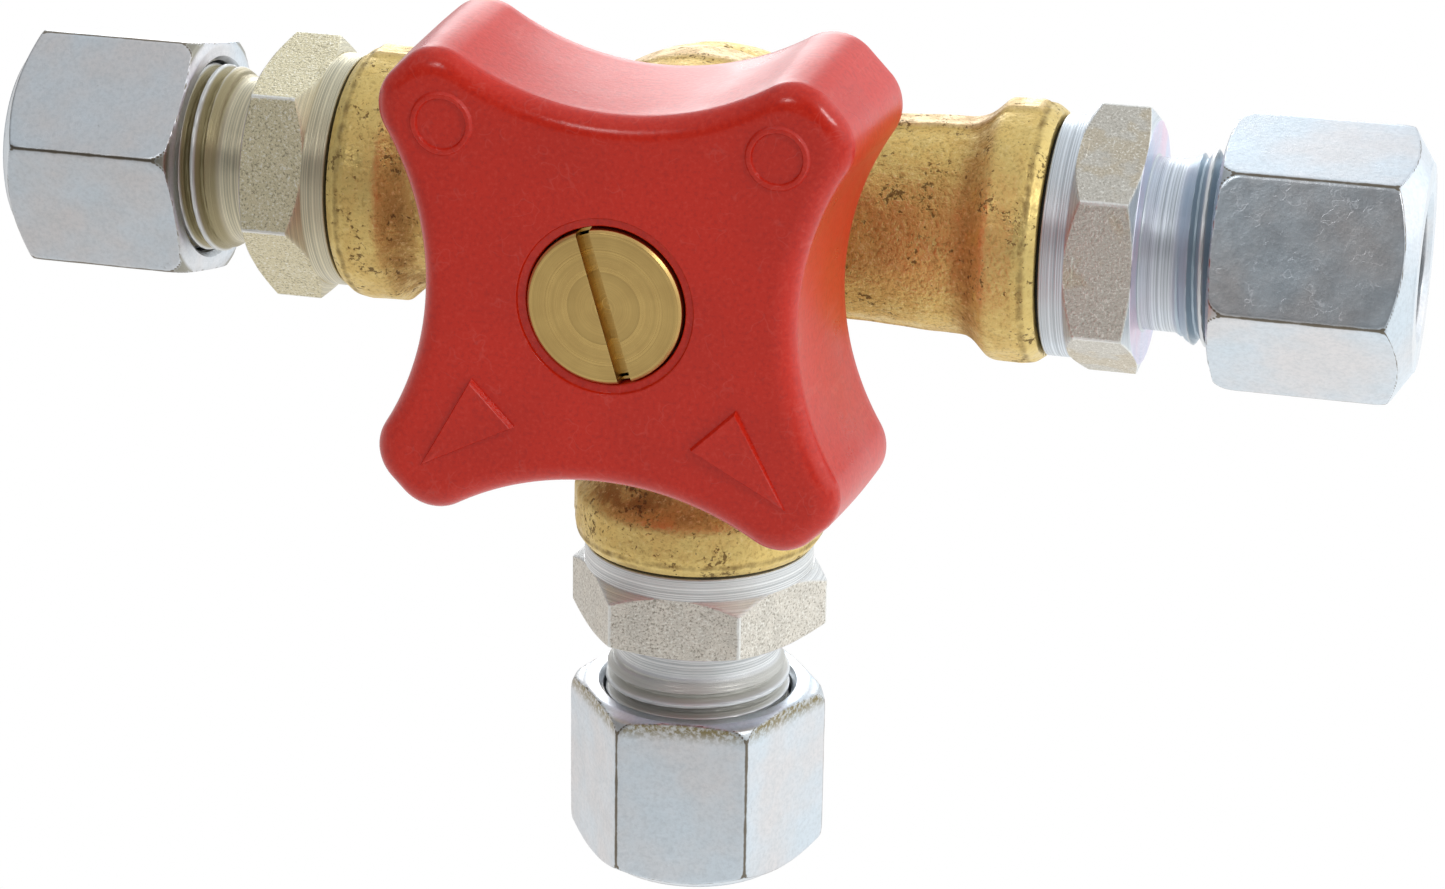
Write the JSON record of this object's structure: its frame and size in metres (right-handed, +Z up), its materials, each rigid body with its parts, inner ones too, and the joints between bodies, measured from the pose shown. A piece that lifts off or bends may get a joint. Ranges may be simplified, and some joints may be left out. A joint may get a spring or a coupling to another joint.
{
  "type": "three way valve",
  "caption": "Brass tee-shaped three way selector valve with a red cross handle, and a steel cutting ring tube fitting with a union nut on every port.",
  "frame": {"origin": "on the plug axis, where the axes of the three ports cross", "axes": "+X along the run towards the right-hand port, -Z along the branch port, -Y along the plug stem towards the handle, +Z up"},
  "size_m": [0.1338, 0.0454, 0.0891],
  "materials": {
    "forged_brass": "forged and pitted",
    "turned_brass": "turned",
    "plated_steel": "satin",
    "zinc_nut": "satin",
    "red_plastic": "gloss",
    "white_plastic": "matte",
    "black_rubber": "matte"
  },
  "bodies": {
    "valve": {"valve_body": "forged_brass", "seat_right": "white_plastic", "seat_left": "white_plastic", "seat_branch": "white_plastic", "bonnet": "turned_brass", "stop_pin": "plated_steel", "port_seal_right": "black_rubber", "coupling_right": "plated_steel", "port_seal_left": "black_rubber", "coupling_left": "plated_steel", "port_seal_branch": "black_rubber", "coupling_branch": "plated_steel"},
    "selector": {"plug": "turned_brass", "plug_seal_front": "black_rubber", "plug_seal_rear": "black_rubber", "stem_seal_inner": "black_rubber", "stem_seal_outer": "black_rubber", "thrust_washer": "white_plastic", "handle": "red_plastic", "handle_washer": "plated_steel", "handle_screw": "turned_brass"},
    "ring_right": {"cutting_ring_right": "zinc_nut"},
    "nut_right": {"union_nut_right": "zinc_nut"},
    "ring_left": {"cutting_ring_left": "zinc_nut"},
    "nut_left": {"union_nut_left": "zinc_nut"},
    "ring_branch": {"cutting_ring_branch": "zinc_nut"},
    "nut_branch": {"union_nut_branch": "zinc_nut"}
  },
  "joints": [
    {"name": "handle_turn", "type": "hinge", "parent": "valve", "child": "selector", "pos_m": [0, 0, 0], "axis": [0, -1, 0], "range_deg": [-45, 45]},
    {"name": "ring_right_slide", "type": "slide", "parent": "valve", "child": "ring_right", "axis": [1, 0, 0], "range_m": [-0.001, 0.00885]},
    {"name": "nut_right_turn", "type": "hinge", "parent": "ring_right", "child": "nut_right", "pos_m": [0.0578, 0, 0], "axis": [1, 0, 0], "range_deg": [-241, 2125]},
    {"name": "ring_left_slide", "type": "slide", "parent": "valve", "child": "ring_left", "axis": [-1, 0, 0], "range_m": [-0.001, 0.00885]},
    {"name": "nut_left_turn", "type": "hinge", "parent": "ring_left", "child": "nut_left", "pos_m": [-0.0578, 0, 0], "axis": [-1, 0, 0], "range_deg": [-241, 2125]},
    {"name": "ring_branch_slide", "type": "slide", "parent": "valve", "child": "ring_branch", "axis": [0, 0, -1], "range_m": [-0.001, 0.00885]},
    {"name": "nut_branch_turn", "type": "hinge", "parent": "ring_branch", "child": "nut_branch", "pos_m": [0, 0, -0.0578], "axis": [0, 0, -1], "range_deg": [-241, 2125]}
  ],
  "couplings": [
    {"joint": "nut_right_turn", "follows": "ring_right_slide", "rad_per_m": 4188.8},
    {"joint": "nut_left_turn", "follows": "ring_left_slide", "rad_per_m": 4188.8},
    {"joint": "nut_branch_turn", "follows": "ring_branch_slide", "rad_per_m": 4188.8}
  ]
}
